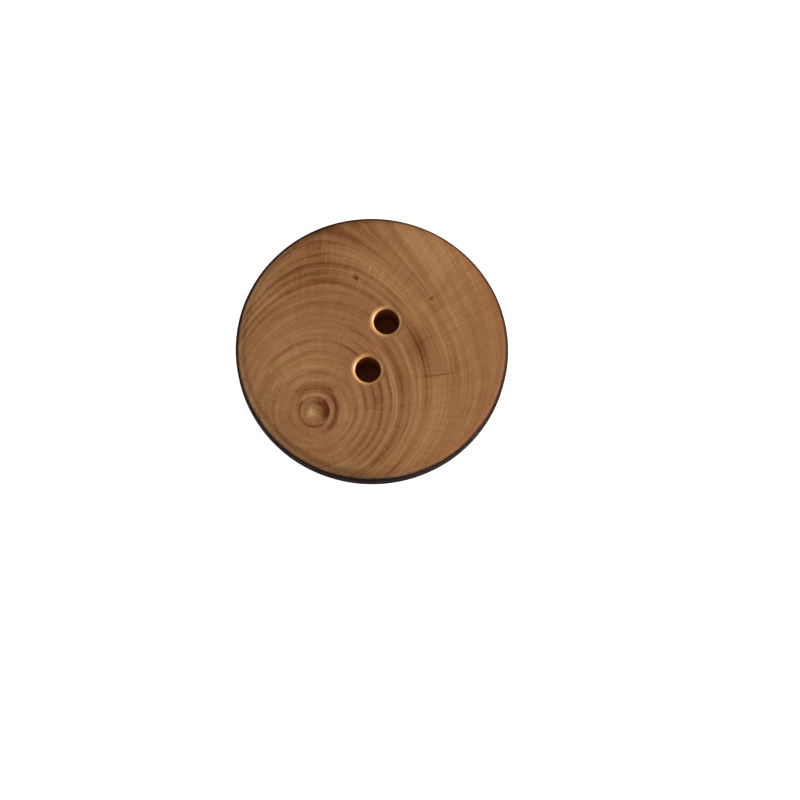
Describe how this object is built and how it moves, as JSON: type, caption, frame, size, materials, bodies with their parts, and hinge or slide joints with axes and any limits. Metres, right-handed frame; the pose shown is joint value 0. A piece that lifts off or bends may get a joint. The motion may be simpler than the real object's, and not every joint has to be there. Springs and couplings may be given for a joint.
{
  "type": "sew-on button",
  "caption": "Round sew-on button cut across the grain of a branch, with flat faces, a rounded dark rim and countersunk thread holes beside its centre.",
  "frame": {"origin": "centre of the flat back face, which lies on the cloth", "axes": "+Z out of the front face, +Y along the line through the sewing holes, +X across that line"},
  "size_m": [0.038, 0.038, 0.005],
  "materials": {
    "end_grain_wood": "sanded and oiled end grain, satin, with a scorched rim"
  },
  "bodies": {
    "root": {"button_disc": "end_grain_wood"}
  },
  "joints": []
}
